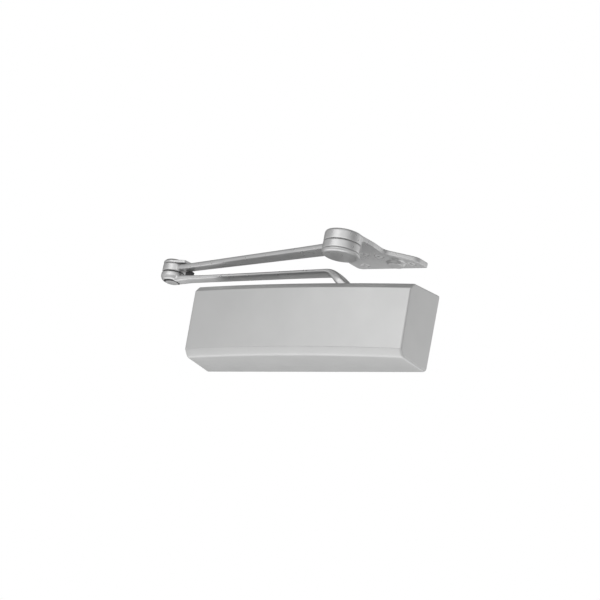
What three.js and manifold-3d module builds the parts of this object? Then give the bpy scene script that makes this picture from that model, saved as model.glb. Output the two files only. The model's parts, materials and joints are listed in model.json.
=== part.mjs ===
// Surface-mounted door closer with a forged double-lever arm and a soffit shoe.
// Millimetres. +X runs along the cover, +Y goes into the door, +Z is up.
// The origin is the centre of the mounting plate's back face, which lies on the door.
import * as THREE from 'three';
import { mergeVertices } from 'three/addons/utils/BufferGeometryUtils.js';
import Module from 'manifold-3d';

const wasm = await Module();
wasm.setup();

// ---------------------------------------------------------------- driving dimensions
const GAP = 0.3;                     // between pieces that touch on the real object

const COVER_LENGTH = 322.6;
const COVER_CENTRE_X = -0.95;         // the cover reaches further over the spring end
const COVER_HEIGHT = 98.2;
const COVER_DEPTH = 61;              // at the two ends
const COVER_BOW = 9;                 // extra depth at mid length
const COVER_WALL = 2;
const COVER_TOP_FALL = 4.9;          // the top slopes down towards the front
const COVER_BOTTOM_RISE = 1.2;
const COVER_END_DRAFT = 3.1;
const COVER_LEAN = 1.2;              // the front leans out by this much at its top, and in at its bottom
const COVER_TOP_BEVEL = 7.5;
const COVER_BOTTOM_BEVEL = 8.4;
const COVER_NOTCH = 36;              // width of the notch that the arm hub turns in
const COVER_BACK = -0.5;

const PLATE = { halfLength: 150, halfHeight: 43, thickness: 4 };

const BORE_Y = -30;                  // main bore and pinion axis, in front of the door
const BORE_R = 20;
const BARREL_R = 25;
const BODY_END = 146;

const SPINDLE_X = 45;
const BOSS_R = 20;
const BOSS_HALF = 38;
const JOURNAL_R = 9;
const BEARING_R = 14.5;

const PINION_TEETH = 12;
const PITCH_R = 11;
const MODULE = 2 * PITCH_R / PINION_TEETH;
const PRESSURE_ANGLE = THREE.MathUtils.degToRad(25);
const ADDENDUM = 0.8 * MODULE;
const DEDENDUM = MODULE;
const BACKLASH = 0.3;
const PINION_HALF_HEIGHT = 12;
const PISTON = { left: 5, right: 108, radius: BORE_R - GAP, slotLeft: 31, slotRight: 92 };

// Segments round a full turn, for screws, bearings and discs.
const SMALL = 16;
const MEDIUM = 24;
const FINE = 32;
const HEX = 6;

const SPRING = { left: -118, right: 4, meanR: 14.2, wireR: 2.6, turns: 10 };

const ELBOW = { x: -222.7, y: BORE_Y, r: 15, low: 62 };
const FOREARM_Z = 78.7;
const HUB = { r: 16, low: 41.5, high: 50.5 };

const SHOE = { x: 67.8, y: -91, r: 23.6 };
const SOFFIT_Z = 96.5;               // top face of the shoe
const SHOE_PLATE_LOW = 90.2;
const SHOE_KNUCKLE_LOW = 82.9;
const EYE = { low: 71.8, high: 82.5 };
const CAP_LOW = 67.2;

// ---------------------------------------------------------------- materials
function finish(color, roughness, metalness) {
  return new THREE.MeshStandardMaterial({ color, roughness, metalness });
}
const MATERIALS = {
  coverPaint: finish(0xc9c8c6, 0.42, 0.55),
  forged: finish(0xa9a9a9, 0.35, 0.85),
  casting: finish(0x8f9193, 0.6, 0.5),
  steel: finish(0x9a9c9f, 0.3, 0.95),
  plated: finish(0xc4c4c2, 0.28, 0.9),
  bronze: finish(0xa8824c, 0.4, 0.9),
  spring: finish(0x4c4e52, 0.35, 0.9),
  rubber: finish(0x232323, 0.85, 0),
  brass: finish(0xb59a52, 0.35, 0.9),
};

// ---------------------------------------------------------------- solid helpers
function signedVolume(positions, indices) {
  const corner = (i) => new THREE.Vector3().fromArray(positions, 3 * indices[i]);
  let sum = 0;
  for (let i = 0; i < indices.length; i += 3) {
    sum += corner(i).dot(corner(i + 1).cross(corner(i + 2))) / 6;
  }
  return sum;
}

// Closed geometry as a solid, with its faces turned outwards.
function solid(geometry) {
  const bare = geometry.index ? geometry.toNonIndexed() : geometry.clone();
  for (const name of Object.keys(bare.attributes)) {
    if (name !== 'position') bare.deleteAttribute(name);
  }
  const merged = mergeVertices(bare, 1e-4);
  const vertProperties = new Float32Array(merged.attributes.position.array);
  const triVerts = new Uint32Array(merged.index.array);
  if (signedVolume(vertProperties, triVerts) < 0) triVerts.reverse();
  return new wasm.Manifold(new wasm.Mesh({ numProp: 3, vertProperties, triVerts }));
}

function geometryOf(body) {
  const mesh = body.getMesh();
  const geometry = new THREE.BufferGeometry();
  geometry.setAttribute('position', new THREE.BufferAttribute(mesh.vertProperties, 3));
  geometry.setIndex(new THREE.BufferAttribute(mesh.triVerts, 1));
  const flat = geometry.toNonIndexed();
  flat.computeVertexNormals();
  return flat;
}

function join(...bodies) {
  return bodies.reduce((sum, body) => sum.add(body));
}

function cut(body, ...tools) {
  return tools.reduce((rest, tool) => rest.subtract(tool), body);
}

// Turns a shape made along +Z so that it runs along the named axis, then moves it.
function along(geometry, axis, x, y, z) {
  if (axis === 'x') geometry.rotateY(Math.PI / 2);
  if (axis === 'y') geometry.rotateX(-Math.PI / 2);
  geometry.translate(x, y, z);
  return geometry;
}

// Solid of revolution from [radius, height] pairs that start and end on the axis.
function turned(profile, axis, x, y, z, segments = MEDIUM) {
  const points = profile.map(([radius, height]) => new THREE.Vector2(radius, height));
  const lathe = new THREE.LatheGeometry(points, segments);
  lathe.rotateX(Math.PI / 2);
  return solid(along(lathe, axis, x, y, z));
}

function rod(radius, low, high, axis, x, y, z, segments = MEDIUM) {
  const profile = [[0, low], [radius, low], [radius, high], [0, high]];
  return turned(profile, axis, x, y, z, segments);
}

function ring(inner, outer, low, high, axis, x, y, z, segments = MEDIUM) {
  const bore = rod(inner, low - 1, high + 1, axis, x, y, z, segments);
  return cut(rod(outer, low, high, axis, x, y, z, segments), bore);
}

function block(low, high) {
  const box = new THREE.BoxGeometry(high[0] - low[0], high[1] - low[1], high[2] - low[2]);
  box.translate((low[0] + high[0]) / 2, (low[1] + high[1]) / 2, (low[2] + high[2]) / 2);
  return solid(box);
}

// Upright prism from an outline in X and Y.
function prism(shape, low, high, curveSegments = 6) {
  const settings = { depth: high - low, bevelEnabled: false, curveSegments };
  const geometry = new THREE.ExtrudeGeometry(shape, settings);
  geometry.translate(0, 0, low);
  return solid(geometry);
}

// Closed skin through rings of equal point count, with flat fans over its two ends.
function loft(rings) {
  const count = rings[0].length;
  const triangles = [];
  const push = (a, b, c) => triangles.push(...a, ...b, ...c);
  for (let i = 0; i + 1 < rings.length; i += 1) {
    for (let j = 0; j < count; j += 1) {
      const k = (j + 1) % count;
      push(rings[i][j], rings[i][k], rings[i + 1][j]);
      push(rings[i][k], rings[i + 1][k], rings[i + 1][j]);
    }
  }
  const last = rings[rings.length - 1];
  for (let j = 1; j + 1 < count; j += 1) {
    push(rings[0][0], rings[0][j + 1], rings[0][j]);
    push(last[0], last[j], last[j + 1]);
  }
  const geometry = new THREE.BufferGeometry();
  geometry.setAttribute('position', new THREE.Float32BufferAttribute(triangles, 3));
  return solid(geometry);
}

// Rounded-bar ring across a lever at a station: centre, side and up directions, width, height.
function barRing({ centre, side, up, width, height }, points = 16, roundness = 0.5) {
  const ringPoints = [];
  for (let i = 0; i < points; i += 1) {
    const angle = 2 * Math.PI * (i + 0.5) / points;
    const c = Math.cos(angle);
    const s = Math.sin(angle);
    const across = Math.sign(c) * Math.abs(c) ** roundness * width / 2;
    const raise = Math.sign(s) * Math.abs(s) ** roundness * height / 2;
    ringPoints.push([0, 1, 2].map((n) => centre[n] + side[n] * across + up[n] * raise));
  }
  return ringPoints;
}

// ---------------------------------------------------------------- scene graph
const object = new THREE.Group();

function add(name, body, material, parent = object) {
  const mesh = new THREE.Mesh(geometryOf(body), material);
  mesh.name = name;
  parent.add(mesh);
  return mesh;
}

// ---------------------------------------------------------------- cover
function coverDepthAt(x) {
  const along01 = x / (COVER_LENGTH / 2);
  return COVER_DEPTH + COVER_BOW * (1 - along01 * along01);
}

// Outline in Y and Z of the cover at one depth, moved inwards by inset.
function coverOutline(depth, inset, back) {
  const top = (y) => COVER_HEIGHT / 2 + COVER_TOP_FALL * y / COVER_DEPTH - inset;
  const bottom = (y) => -COVER_HEIGHT / 2 - COVER_BOTTOM_RISE * y / COVER_DEPTH + inset;
  const bevelShift = inset * Math.tan(Math.PI / 8);
  const front = -depth + inset;
  const topEdge = -depth - COVER_LEAN + COVER_TOP_BEVEL + bevelShift;
  const bottomEdge = -depth + COVER_LEAN + COVER_BOTTOM_BEVEL + bevelShift;
  return [
    [back, top(back)],
    [topEdge, top(topEdge)],
    [front - COVER_LEAN, top(front) - COVER_TOP_BEVEL + inset - bevelShift],
    [front + COVER_LEAN, bottom(front) + COVER_BOTTOM_BEVEL - inset + bevelShift],
    [bottomEdge, bottom(bottomEdge)],
    [back, bottom(back)],
  ];
}

function coverBlock(inset, back) {
  const half = COVER_LENGTH / 2 - inset;
  const cornerSteps = [[0, 4], [0.8, 2], [2.2, 0.8], [4.5, 0]];   // [in from the end, depth lost]
  const stations = [];
  for (const [offset, lost] of cornerSteps) stations.push([-half + offset, lost]);
  for (let x = -130; x <= 130; x += 26) stations.push([x, 0]);
  for (const [offset, lost] of cornerSteps.slice().reverse()) stations.push([half - offset, lost]);
  const rings = stations.map(([x, lost]) => {
    const outline = coverOutline(coverDepthAt(x) - lost, inset, back);
    return outline.map(([y, z]) => [COVER_CENTRE_X + x * (1 + COVER_END_DRAFT / half * y / COVER_DEPTH), y, z]);
  });
  return loft(rings);
}

function makeCover() {
  const notchEnd = BORE_Y;
  const half = COVER_NOTCH / 2;
  const notch = join(
    block([SPINDLE_X - half, notchEnd, 20], [SPINDLE_X + half, 5, 60]),
    rod(half, 20, 60, 'z', SPINDLE_X, BORE_Y, 0),
  );
  add('cover', cut(coverBlock(0, COVER_BACK), coverBlock(COVER_WALL, 2), notch), MATERIALS.coverPaint);
}

// ---------------------------------------------------------------- mounting plate and screws
const PLATE_SCREWS = [[-100, 37], [100, 37], [-100, -37], [100, -37]];
const BODY_BOLTS = [[-136, 30], [136, 30], [-136, -30], [136, -30]];
const SCREW_SHANK_R = 3;

// Countersunk screw along an axis: flat head at +length, shank running back to the origin.
function countersunkScrew(length, headR, axis, x, y, z) {
  const headDepth = headR - SCREW_SHANK_R;
  const slot = 1.2;
  const profile = [
    [0, 0], [SCREW_SHANK_R, 0], [SCREW_SHANK_R, length - headDepth], [headR, length],
    [slot * 1.5, length], [0, length - slot],
  ];
  return turned(profile, axis, x, y, z, SMALL);
}

function countersunkHole(length, headR, axis, x, y, z) {
  const headDepth = headR - SCREW_SHANK_R;
  const r = SCREW_SHANK_R + GAP;
  const profile = [
    [0, -2], [r, -2], [r, length - headDepth], [headR + GAP, length], [headR + GAP, length + 6], [0, length + 6],
  ];
  return turned(profile, axis, x, y, z, SMALL);
}

function makeMountingPlate() {
  const { halfLength, halfHeight, thickness } = PLATE;
  const outline = new THREE.Shape();
  const corner = 6;
  outline.moveTo(-halfLength + corner, -halfHeight);
  outline.lineTo(halfLength - corner, -halfHeight);
  outline.absarc(halfLength - corner, -halfHeight + corner, corner, -Math.PI / 2, 0);
  outline.absarc(halfLength - corner, halfHeight - corner, corner, 0, Math.PI / 2);
  outline.absarc(-halfLength + corner, halfHeight - corner, corner, Math.PI / 2, Math.PI);
  outline.absarc(-halfLength + corner, -halfHeight + corner, corner, Math.PI, 1.5 * Math.PI);
  const settings = { depth: thickness, bevelEnabled: false, curveSegments: 4 };
  const slab = new THREE.ExtrudeGeometry(outline, settings);
  slab.rotateX(Math.PI / 2);
  const holes = [...PLATE_SCREWS, ...BODY_BOLTS].map(([x, z]) => (
    rod(SCREW_SHANK_R + GAP, -10, 10, 'y', x, 0, z, SMALL)
  ));
  add('mounting_plate', cut(solid(slab), ...holes), MATERIALS.steel);

  PLATE_SCREWS.forEach(([x, z], i) => {
    const headHeight = 3;
    const low = 0.4;
    const profile = [
      [0, low], [SCREW_SHANK_R, low], [SCREW_SHANK_R, thickness + GAP], [6, thickness + GAP],
      [5, thickness + headHeight], [1.8, thickness + headHeight], [0, thickness + headHeight - 1.5],
    ];
    const screw = turned(profile, 'z', 0, 0, 0, SMALL);
    add(`plate_screw_${i + 1}`, screw.rotate([90, 0, 0]).translate([x, 0, z]), MATERIALS.plated);
  });
}

// Arched leaf springs on the plate's upper and lower edges, which the cover snaps over.
function makeCoverClips() {
  const leaf = new THREE.Shape();
  const half = 15;
  const rise = 1.9;
  const leafThickness = 0.9;
  leaf.moveTo(-half, 0);
  leaf.quadraticCurveTo(0, 2 * rise, half, 0);
  leaf.lineTo(half, leafThickness);
  leaf.quadraticCurveTo(0, 2 * rise + leafThickness, -half, leafThickness);
  const height = PLATE.halfHeight + GAP;
  [[-60, 1], [60, 1], [-60, -1], [60, -1]].forEach(([x, sign], i) => {
    const clip = prism(leaf, 1, 9, 5).rotate([90, 0, 0]).translate([0, 0, height]);
    const placed = sign > 0 ? clip : clip.rotate([180, 0, 0]).translate([0, -10, 0]);
    add(`cover_clip_${i + 1}`, placed.translate([x, 0, 0]), MATERIALS.plated);
  });
}

// ---------------------------------------------------------------- closer body
const VALVES = [['backcheck_valve', 100], ['latch_valve', 115], ['sweep_valve', 130]];
const VALVE = { z: 28, r: 3.2, low: -52.6, high: -38 };

function makeCloserBody() {
  const backY = -PLATE.thickness - GAP;
  const footHalf = 10;
  const feet = BODY_BOLTS.map(([x, z]) => (
    block([x - footHalf, -14, z - footHalf], [x + footHalf, backY, z + footHalf])
  ));
  const barrel = rod(BARREL_R, -BODY_END, BODY_END, 'x', 0, BORE_Y, 0, FINE);
  const web = block([-BODY_END, -26, -23], [BODY_END, backY, 23]);
  const boss = rod(BOSS_R, -BOSS_HALF, BOSS_HALF, 'z', SPINDLE_X, BORE_Y, 0, FINE);
  const bossWeb = block([SPINDLE_X - 16, BORE_Y, -BOSS_HALF], [SPINDLE_X + 16, backY, BOSS_HALF]);
  const valveBlock = block([91, -52, 10], [139, -24, 35]);
  const mainBore = rod(BORE_R, -BODY_END - 2, BODY_END + 2, 'x', 0, BORE_Y, 0, FINE);
  const pinionBore = rod(BEARING_R, -BOSS_HALF - 2, BOSS_HALF + 2, 'z', SPINDLE_X, BORE_Y, 0, FINE);
  const boltHoles = BODY_BOLTS.map(([x, z]) => rod(SCREW_SHANK_R + GAP, -30, 5, 'y', x, 0, z, SMALL));
  const valveHoles = VALVES.map(([, x]) => (
    rod(VALVE.r + 0.4, VALVE.low - 2, VALVE.high + 0.5, 'y', x, 0, VALVE.z, SMALL)
  ));
  const housing = cut(
    join(barrel, web, boss, bossWeb, valveBlock, ...feet),
    mainBore, pinionBore, ...boltHoles, ...valveHoles,
  );
  add('closer_body', housing, MATERIALS.casting);

  BODY_BOLTS.forEach(([x, z], i) => {
    const seat = 14 + GAP;
    const headR = 5.5;
    const headTop = seat + 5;
    const profile = [
      [0, 0.4], [SCREW_SHANK_R, 0.4], [SCREW_SHANK_R, seat], [headR, seat], [headR, headTop - 0.8],
      [headR - 0.8, headTop], [2.4, headTop], [2.4, headTop - 2.5], [0, headTop - 2.5],
    ];
    const bolt = turned(profile, 'z', 0, 0, 0, SMALL).rotate([90, 0, 0]).translate([x, 0, z]);
    add(`body_bolt_${i + 1}`, bolt, MATERIALS.plated);
  });

  VALVES.forEach(([name, x]) => {
    const length = VALVE.high - VALVE.low;
    const r = VALVE.r;
    const stem = turned([
      [0, 0], [0.8, 0], [r - 1, 3], [r - 1, 5], [r, 5], [r, length - 0.4], [r - 0.4, length], [0, length],
    ], 'z', 0, 0, 0, SMALL);
    const screwSlot = block([-r - 1, -0.5, length - 1.2], [r + 1, 0.5, length + 1]);
    const valve = cut(stem, screwSlot).rotate([90, 0, 0]).translate([x, VALVE.high, VALVE.z]);
    add(name, valve, MATERIALS.brass);
  });
}

// ---------------------------------------------------------------- end plugs and power adjuster
const PLUG_R = BORE_R - GAP;
const ADJUSTER = { r: 5, headLow: -152.5, tip: -123.5 };

function makeEndPlugs() {
  const groove = (low, high) => ring(PLUG_R - 2.4, PLUG_R + 1, low, high, 'x', 0, BORE_Y, 0, FINE);
  const leftPlug = join(
    rod(PLUG_R, -147, -126, 'x', 0, BORE_Y, 0, FINE),
    rod(12, -150, -147, 'x', 0, BORE_Y, 0, HEX),
  );
  const adjusterHole = rod(ADJUSTER.r + 0.4, -155, -120, 'x', 0, BORE_Y, 0, SMALL);
  add('spring_end_plug', cut(leftPlug, groove(-136, -132), adjusterHole), MATERIALS.steel);

  const rightPlug = join(
    rod(PLUG_R, 118, 147, 'x', 0, BORE_Y, 0, FINE),
    rod(12, 147, 151, 'x', 0, BORE_Y, 0, HEX),
  );
  add('closed_end_plug', cut(rightPlug, groove(124, 128)), MATERIALS.steel);

  const oRing = (low) => ring(PLUG_R - 2.1, PLUG_R + 0.15, low + GAP, low + 4 - GAP, 'x', 0, BORE_Y, 0, FINE);
  add('spring_plug_o_ring', oRing(-136), MATERIALS.rubber);
  add('closed_plug_o_ring', oRing(124), MATERIALS.rubber);

  const adjuster = join(
    rod(ADJUSTER.r, -150.5, ADJUSTER.tip, 'x', 0, BORE_Y, 0, SMALL),
    rod(7.5, ADJUSTER.headLow, -150.5, 'x', 0, BORE_Y, 0, HEX),
  );
  add('power_adjusting_screw', adjuster, MATERIALS.plated);
  add('spring_seat', rod(BORE_R - 1, ADJUSTER.tip + GAP, SPRING.left - GAP, 'x', 0, BORE_Y, 0), MATERIALS.steel);
}

// ---------------------------------------------------------------- pinion spindle, bearings, seals
// Half of one involute tooth flank as [radius, angle from the tooth's centre line].
function involuteFlank(steps) {
  const baseR = PITCH_R * Math.cos(PRESSURE_ANGLE);
  const rootR = PITCH_R - DEDENDUM;
  const tipR = PITCH_R + ADDENDUM;
  const involute = (r) => {
    const pressure = Math.acos(Math.min(1, baseR / r));
    return Math.tan(pressure) - pressure;
  };
  const toothThickness = Math.PI * MODULE / 2 - BACKLASH;
  const halfAngle = toothThickness / (2 * PITCH_R);
  const startR = Math.max(baseR, rootR);
  const flank = [[rootR, halfAngle + involute(PITCH_R) - involute(startR)]];
  for (let i = 0; i <= steps; i += 1) {
    const r = startR + (tipR - startR) * i / steps;
    flank.push([r, halfAngle + involute(PITCH_R) - involute(r)]);
  }
  return flank;
}

function pinionShape() {
  const flank = involuteFlank(3).filter(([r], i) => i === 0 || r > PITCH_R - DEDENDUM + 0.01);
  const shape = new THREE.Shape();
  for (let tooth = 0; tooth < PINION_TEETH; tooth += 1) {
    const centre = Math.PI / 2 + 2 * Math.PI * tooth / PINION_TEETH;
    const right = flank.map(([r, angle]) => [r, centre - angle]);
    const left = flank.map(([r, angle]) => [r, centre + angle]).reverse();
    [...right, ...left].forEach(([r, angle], i) => {
      const x = r * Math.cos(angle);
      const y = r * Math.sin(angle);
      if (tooth === 0 && i === 0) shape.moveTo(x, y);
      else shape.lineTo(x, y);
    });
  }
  return shape;
}

function makeSpindle() {
  const spindle = new THREE.Group();
  object.add(spindle);
  const topEnd = HUB.high - 1;
  const shaft = turned([
    [0, -BOSS_HALF - 1.5], [JOURNAL_R - 1, -BOSS_HALF - 1.5], [JOURNAL_R, -BOSS_HALF - 0.5],
    [JOURNAL_R, HUB.low - 0.8], [7.1, HUB.low - 0.8], [7.1, topEnd], [0, topEnd],
  ], 'z', SPINDLE_X, BORE_Y, 0);
  const gear = prism(pinionShape(), -PINION_HALF_HEIGHT, PINION_HALF_HEIGHT)
    .translate([SPINDLE_X, BORE_Y, 0]);
  const threadHole = rod(3 + GAP, 36, 60, 'z', SPINDLE_X, BORE_Y, 0, SMALL);
  add('pinion_shaft', cut(join(shaft, gear), threadHole), MATERIALS.steel, spindle);

  const axis = ['z', SPINDLE_X, BORE_Y, 0];
  for (const [place, sign] of [['upper', 1], ['lower', -1]]) {
    const span = (a, b) => [Math.min(sign * a, sign * b), Math.max(sign * a, sign * b)];
    const outer = BEARING_R - GAP;
    const inner = JOURNAL_R + GAP;
    add(`${place}_needle_bearing`, ring(inner, outer, ...span(20.8, 32), ...axis), MATERIALS.plated);
    add(`${place}_shaft_seal`, ring(inner, outer, ...span(32.4, 37.8), ...axis), MATERIALS.rubber);
    add(`${place}_seal_retainer`, ring(inner + 0.2, 18, ...span(38.3, 40.3), ...axis), MATERIALS.plated);
  }
}

// ---------------------------------------------------------------- piston, check valve, spring
function rackPocket() {
  const pitch = Math.PI * MODULE;
  const tipY = PITCH_R - ADDENDUM;
  const rootY = PITCH_R + DEDENDUM + 0.2;
  const spread = Math.tan(PRESSURE_ANGLE);
  const gapHalf = (y) => (pitch / 2 + BACKLASH) / 2 - (y - PITCH_R) * spread;
  const shape = new THREE.Shape();
  const centreX = SPINDLE_X;
  shape.moveTo(PISTON.slotLeft, BORE_Y - PITCH_R - ADDENDUM - 1.4);
  shape.lineTo(PISTON.slotRight, BORE_Y - PITCH_R - ADDENDUM - 1.4);
  shape.lineTo(PISTON.slotRight, BORE_Y + tipY);
  const lastGap = Math.floor((PISTON.slotRight - 3 - centreX) / pitch);
  const firstGap = Math.ceil((PISTON.slotLeft + 3 - centreX) / pitch);
  for (let k = lastGap; k >= firstGap; k -= 1) {
    const x = centreX + k * pitch;
    shape.lineTo(x + gapHalf(tipY), BORE_Y + tipY);
    shape.lineTo(x + gapHalf(rootY), BORE_Y + rootY);
    shape.lineTo(x - gapHalf(rootY), BORE_Y + rootY);
    shape.lineTo(x - gapHalf(tipY), BORE_Y + tipY);
  }
  shape.lineTo(PISTON.slotLeft, BORE_Y + tipY);
  return prism(shape, -BORE_R - 1, BORE_R + 1);
}

function makePiston() {
  const train = new THREE.Group();
  object.add(train);
  const { left, right, radius } = PISTON;
  const barrel = rod(radius, left, right, 'x', 0, BORE_Y, 0, FINE);
  const springPocket = rod(BORE_R - 8.6, left - 1, left + 3, 'x', 0, BORE_Y, 0);
  const ringGroove = ring(radius - 2, radius + 1, 20, 23.6, 'x', 0, BORE_Y, 0, FINE);
  const valveBore = rod(4 + GAP, left, 27, 'x', 0, BORE_Y, 0, SMALL);
  add('rack_piston', cut(barrel, rackPocket(), springPocket, ringGroove, valveBore), MATERIALS.steel, train);
  const pistonRing = ring(radius - 1.7, radius + 0.1, 20 + GAP, 23.6 - GAP, 'x', 0, BORE_Y, 0, FINE);
  add('piston_ring', pistonRing, MATERIALS.bronze, train);
  const checkValve = turned([
    [0, 9], [3, 9], [4, 10], [4, 26.4], [1.5, 26.4], [1.5, 12], [0, 12],
  ], 'x', 0, BORE_Y, 0, SMALL);
  add('check_valve', checkValve, MATERIALS.brass, train);
}

class Helix extends THREE.Curve {
  getPoint(t, target = new THREE.Vector3()) {
    const { left, right, meanR, wireR, turns } = SPRING;
    const angle = 2 * Math.PI * turns * t;
    const span = right - left - 2 * wireR;
    return target.set(
      left + wireR + span * t,
      BORE_Y + meanR * Math.cos(angle),
      meanR * Math.sin(angle),
    );
  }
}

function makeSpring() {
  const sides = 6;
  const stepsPerTurn = 12;
  const section = new THREE.Shape();
  for (let i = 0; i < sides; i += 1) {
    const angle = 2 * Math.PI * i / sides;
    const x = SPRING.wireR * Math.cos(angle);
    const y = SPRING.wireR * Math.sin(angle);
    if (i === 0) section.moveTo(x, y);
    else section.lineTo(x, y);
  }
  const wire = new THREE.ExtrudeGeometry(section, {
    extrudePath: new Helix(), steps: SPRING.turns * stepsPerTurn, bevelEnabled: false,
  });
  add('main_spring', solid(wire), MATERIALS.spring);
}

// ---------------------------------------------------------------- main arm
// Stations of the main arm from the elbow to the hub: [x, z, slope in degrees, width, height].
const ARM_STATIONS = [
  [-220, 64.6, 0, 15.5, 8.2],
  [-212, 64.5, -1, 17, 8],
  [-203, 64.9, -1, 17.5, 7],
  [-194, 65.2, -1, 17.6, 6.2],
  [-170, 65.4, -1, 18, 5.2],
  [-100, 67, -1, 19.5, 4.9],
  [-20, 69, -1, 22, 4.9],
  [8, 69.5, 0, 23, 5.1],
  [16, 69.5, 6, 23, 5.8],
  [21, 68.5, 22, 23, 7.4],
  [26, 65.8, 34, 23.5, 9.4],
  [31, 61.8, 40, 24, 10.8],
  [37, 56.6, 41, 24, 11.8],
  [42, 52.3, 40, 20, 12],
  [46, 49, 38, 17, 11],
];

const PIN_HEAD = { r: 10.5, chamfer: 2.2, low: 60.6, high: 63.4 };

function makeMainArm() {
  const rings = ARM_STATIONS.map(([x, z, degrees, width, height]) => {
    const slope = THREE.MathUtils.degToRad(degrees);
    return barRing({
      centre: [x, BORE_Y, z],
      side: [0, 1, 0],
      up: [Math.sin(slope), 0, Math.cos(slope)],
      width,
      height,
    });
  });
  const { x, y, r } = ELBOW;
  const knuckle = turned([
    [0, ELBOW.low], [r - 3.4, ELBOW.low], [r - 1.3, ELBOW.low + 1.6], [r + 0.3, ELBOW.low + 5], [r + 0.3, 71.3],
    [r - 0.5, 72.1], [0, 72.1],
  ], 'z', x, y, 0, FINE);
  const stopLug = block([x + 20.5, y - 3.5, 66], [x + 31, y + 2.5, 74.7]);
  const hub = turned([
    [0, HUB.low], [HUB.r - 0.8, HUB.low], [HUB.r, HUB.low + 0.8], [HUB.r, HUB.high - 2], [HUB.r - 2, HUB.high],
    [0, HUB.high],
  ], 'z', SPINDLE_X, BORE_Y, 0, FINE);
  const bore = rod(7.1 + GAP, HUB.low - 3, HUB.high + 12, 'z', SPINDLE_X, BORE_Y, 0);
  const counterbore = rod(8.6, HUB.high - 0.2, HUB.high + 16, 'z', SPINDLE_X, BORE_Y, 0);
  const belowHub = block([SPINDLE_X - 30, BORE_Y - 30, 30], [SPINDLE_X + 40, BORE_Y + 30, HUB.low]);
  const pinHole = join(
    rod(PIN_HEAD.r + GAP, ELBOW.low - 4, PIN_HEAD.high + GAP, 'z', x, y, 0),
    rod(6 + GAP, ELBOW.low - 4, 80, 'z', x, y, 0),
  );
  const arm = cut(join(loft(rings), knuckle, stopLug, hub), bore, counterbore, belowHub, pinHole);
  add('main_arm', arm, MATERIALS.forged);

  const screw = turned([
    [0, 37], [3, 37], [3, HUB.high + 0.1], [6.6, HUB.high + 0.1], [6.6, HUB.high + 1.8], [5.8, HUB.high + 2.6],
    [2.4, HUB.high + 2.6], [2.4, HUB.high + 1], [0, HUB.high + 1],
  ], 'z', SPINDLE_X, BORE_Y, 0, SMALL);
  add('arm_hub_screw', screw, MATERIALS.plated);

  const pin = turned([
    [0, PIN_HEAD.low], [PIN_HEAD.r - PIN_HEAD.chamfer, PIN_HEAD.low],
    [PIN_HEAD.r, PIN_HEAD.low + PIN_HEAD.chamfer], [PIN_HEAD.r, PIN_HEAD.high], [6, PIN_HEAD.high], [6, 82.6],
    [5.2, 83.2], [0, 83.2],
  ], 'z', x, y, 0);
  add('elbow_pin', pin, MATERIALS.forged);
  add('elbow_thrust_washer', ring(6 + GAP, r - 1.2, 72.4, 73.1, 'z', x, y, 0, FINE), MATERIALS.bronze);
}

// ---------------------------------------------------------------- forearm
// Stations along the forearm: [distance from the elbow axis, width, height].
const FOREARM_STATIONS = [
  [8, 16, 7.6],
  [20, 15.5, 7.2],
  [40, 15.7, 6.8],
  [120, 19.6, 6.8],
  [220, 23.8, 6.9],
  [262, 26, 7.2],
  [284, 28, 7.4],
];

function makeForearm() {
  const dx = SHOE.x - ELBOW.x;
  const dy = SHOE.y - ELBOW.y;
  const reach = Math.hypot(dx, dy);
  const run = [dx / reach, dy / reach, 0];
  const side = [-run[1], run[0], 0];
  const heading = Math.atan2(dy, dx);
  const rings = FOREARM_STATIONS.map(([distance, width, height]) => barRing({
    centre: [ELBOW.x + run[0] * distance, ELBOW.y + run[1] * distance, FOREARM_Z],
    side,
    up: [0, 0, 1],
    width,
    height,
  }));
  const elbowEye = turned([
    [0, 73.4], [ELBOW.r - 0.6, 73.4], [ELBOW.r, 74], [ELBOW.r, 82.8], [ELBOW.r - 0.6, 83.4], [0, 83.4],
  ], 'z', ELBOW.x, ELBOW.y, 0, FINE);
  const shoeEye = turned([
    [0, EYE.low], [SHOE.r - 0.6, EYE.low], [SHOE.r, EYE.low + 0.6], [SHOE.r, EYE.high - 0.6],
    [SHOE.r - 0.6, EYE.high], [0, EYE.high],
  ], 'z', SHOE.x, SHOE.y, 0, FINE);
  const elbowBore = rod(8.7 + GAP, 70, 90, 'z', ELBOW.x, ELBOW.y, 0);
  const shoeBore = rod(10.7 + GAP, 70, 90, 'z', SHOE.x, SHOE.y, 0);
  const lever = cut(join(loft(rings), elbowEye, shoeEye), elbowBore, shoeBore);
  add('forearm', lever, MATERIALS.forged);
  add('elbow_bushing', ring(6.3 + GAP, 8.7, 73.5, 83.3, 'z', ELBOW.x, ELBOW.y, 0), MATERIALS.bronze);
  add('shoe_bushing', ring(8.35, 10.7, EYE.low + 0.1, EYE.high - 0.1, 'z', SHOE.x, SHOE.y, 0), MATERIALS.bronze);

  const tail = new THREE.Shape();
  const tailEnd = 24;
  const tailHalf = 6.5;
  tail.moveTo(0, -ELBOW.r + 0.6);
  tail.lineTo(tailEnd - 3, -tailHalf);
  tail.absarc(tailEnd - 3, -tailHalf + 3, 3, -Math.PI / 2, 0);
  tail.absarc(tailEnd - 3, tailHalf - 3, 3, 0, Math.PI / 2);
  tail.lineTo(0, ELBOW.r - 0.6);
  const cap = join(
    turned([
      [0, 83.7], [ELBOW.r - 0.4, 83.7], [ELBOW.r, 84.1], [ELBOW.r, 86.9], [ELBOW.r - 2.2, 89.1], [0, 89.1],
    ], 'z', 0, 0, 0, FINE),
    prism(tail, 83.7, 87.2),
  );
  const turn = THREE.MathUtils.radToDeg(heading);
  add('elbow_cap', cap.rotate([0, 0, turn]).translate([ELBOW.x, ELBOW.y, 0]), MATERIALS.forged);
}

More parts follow.
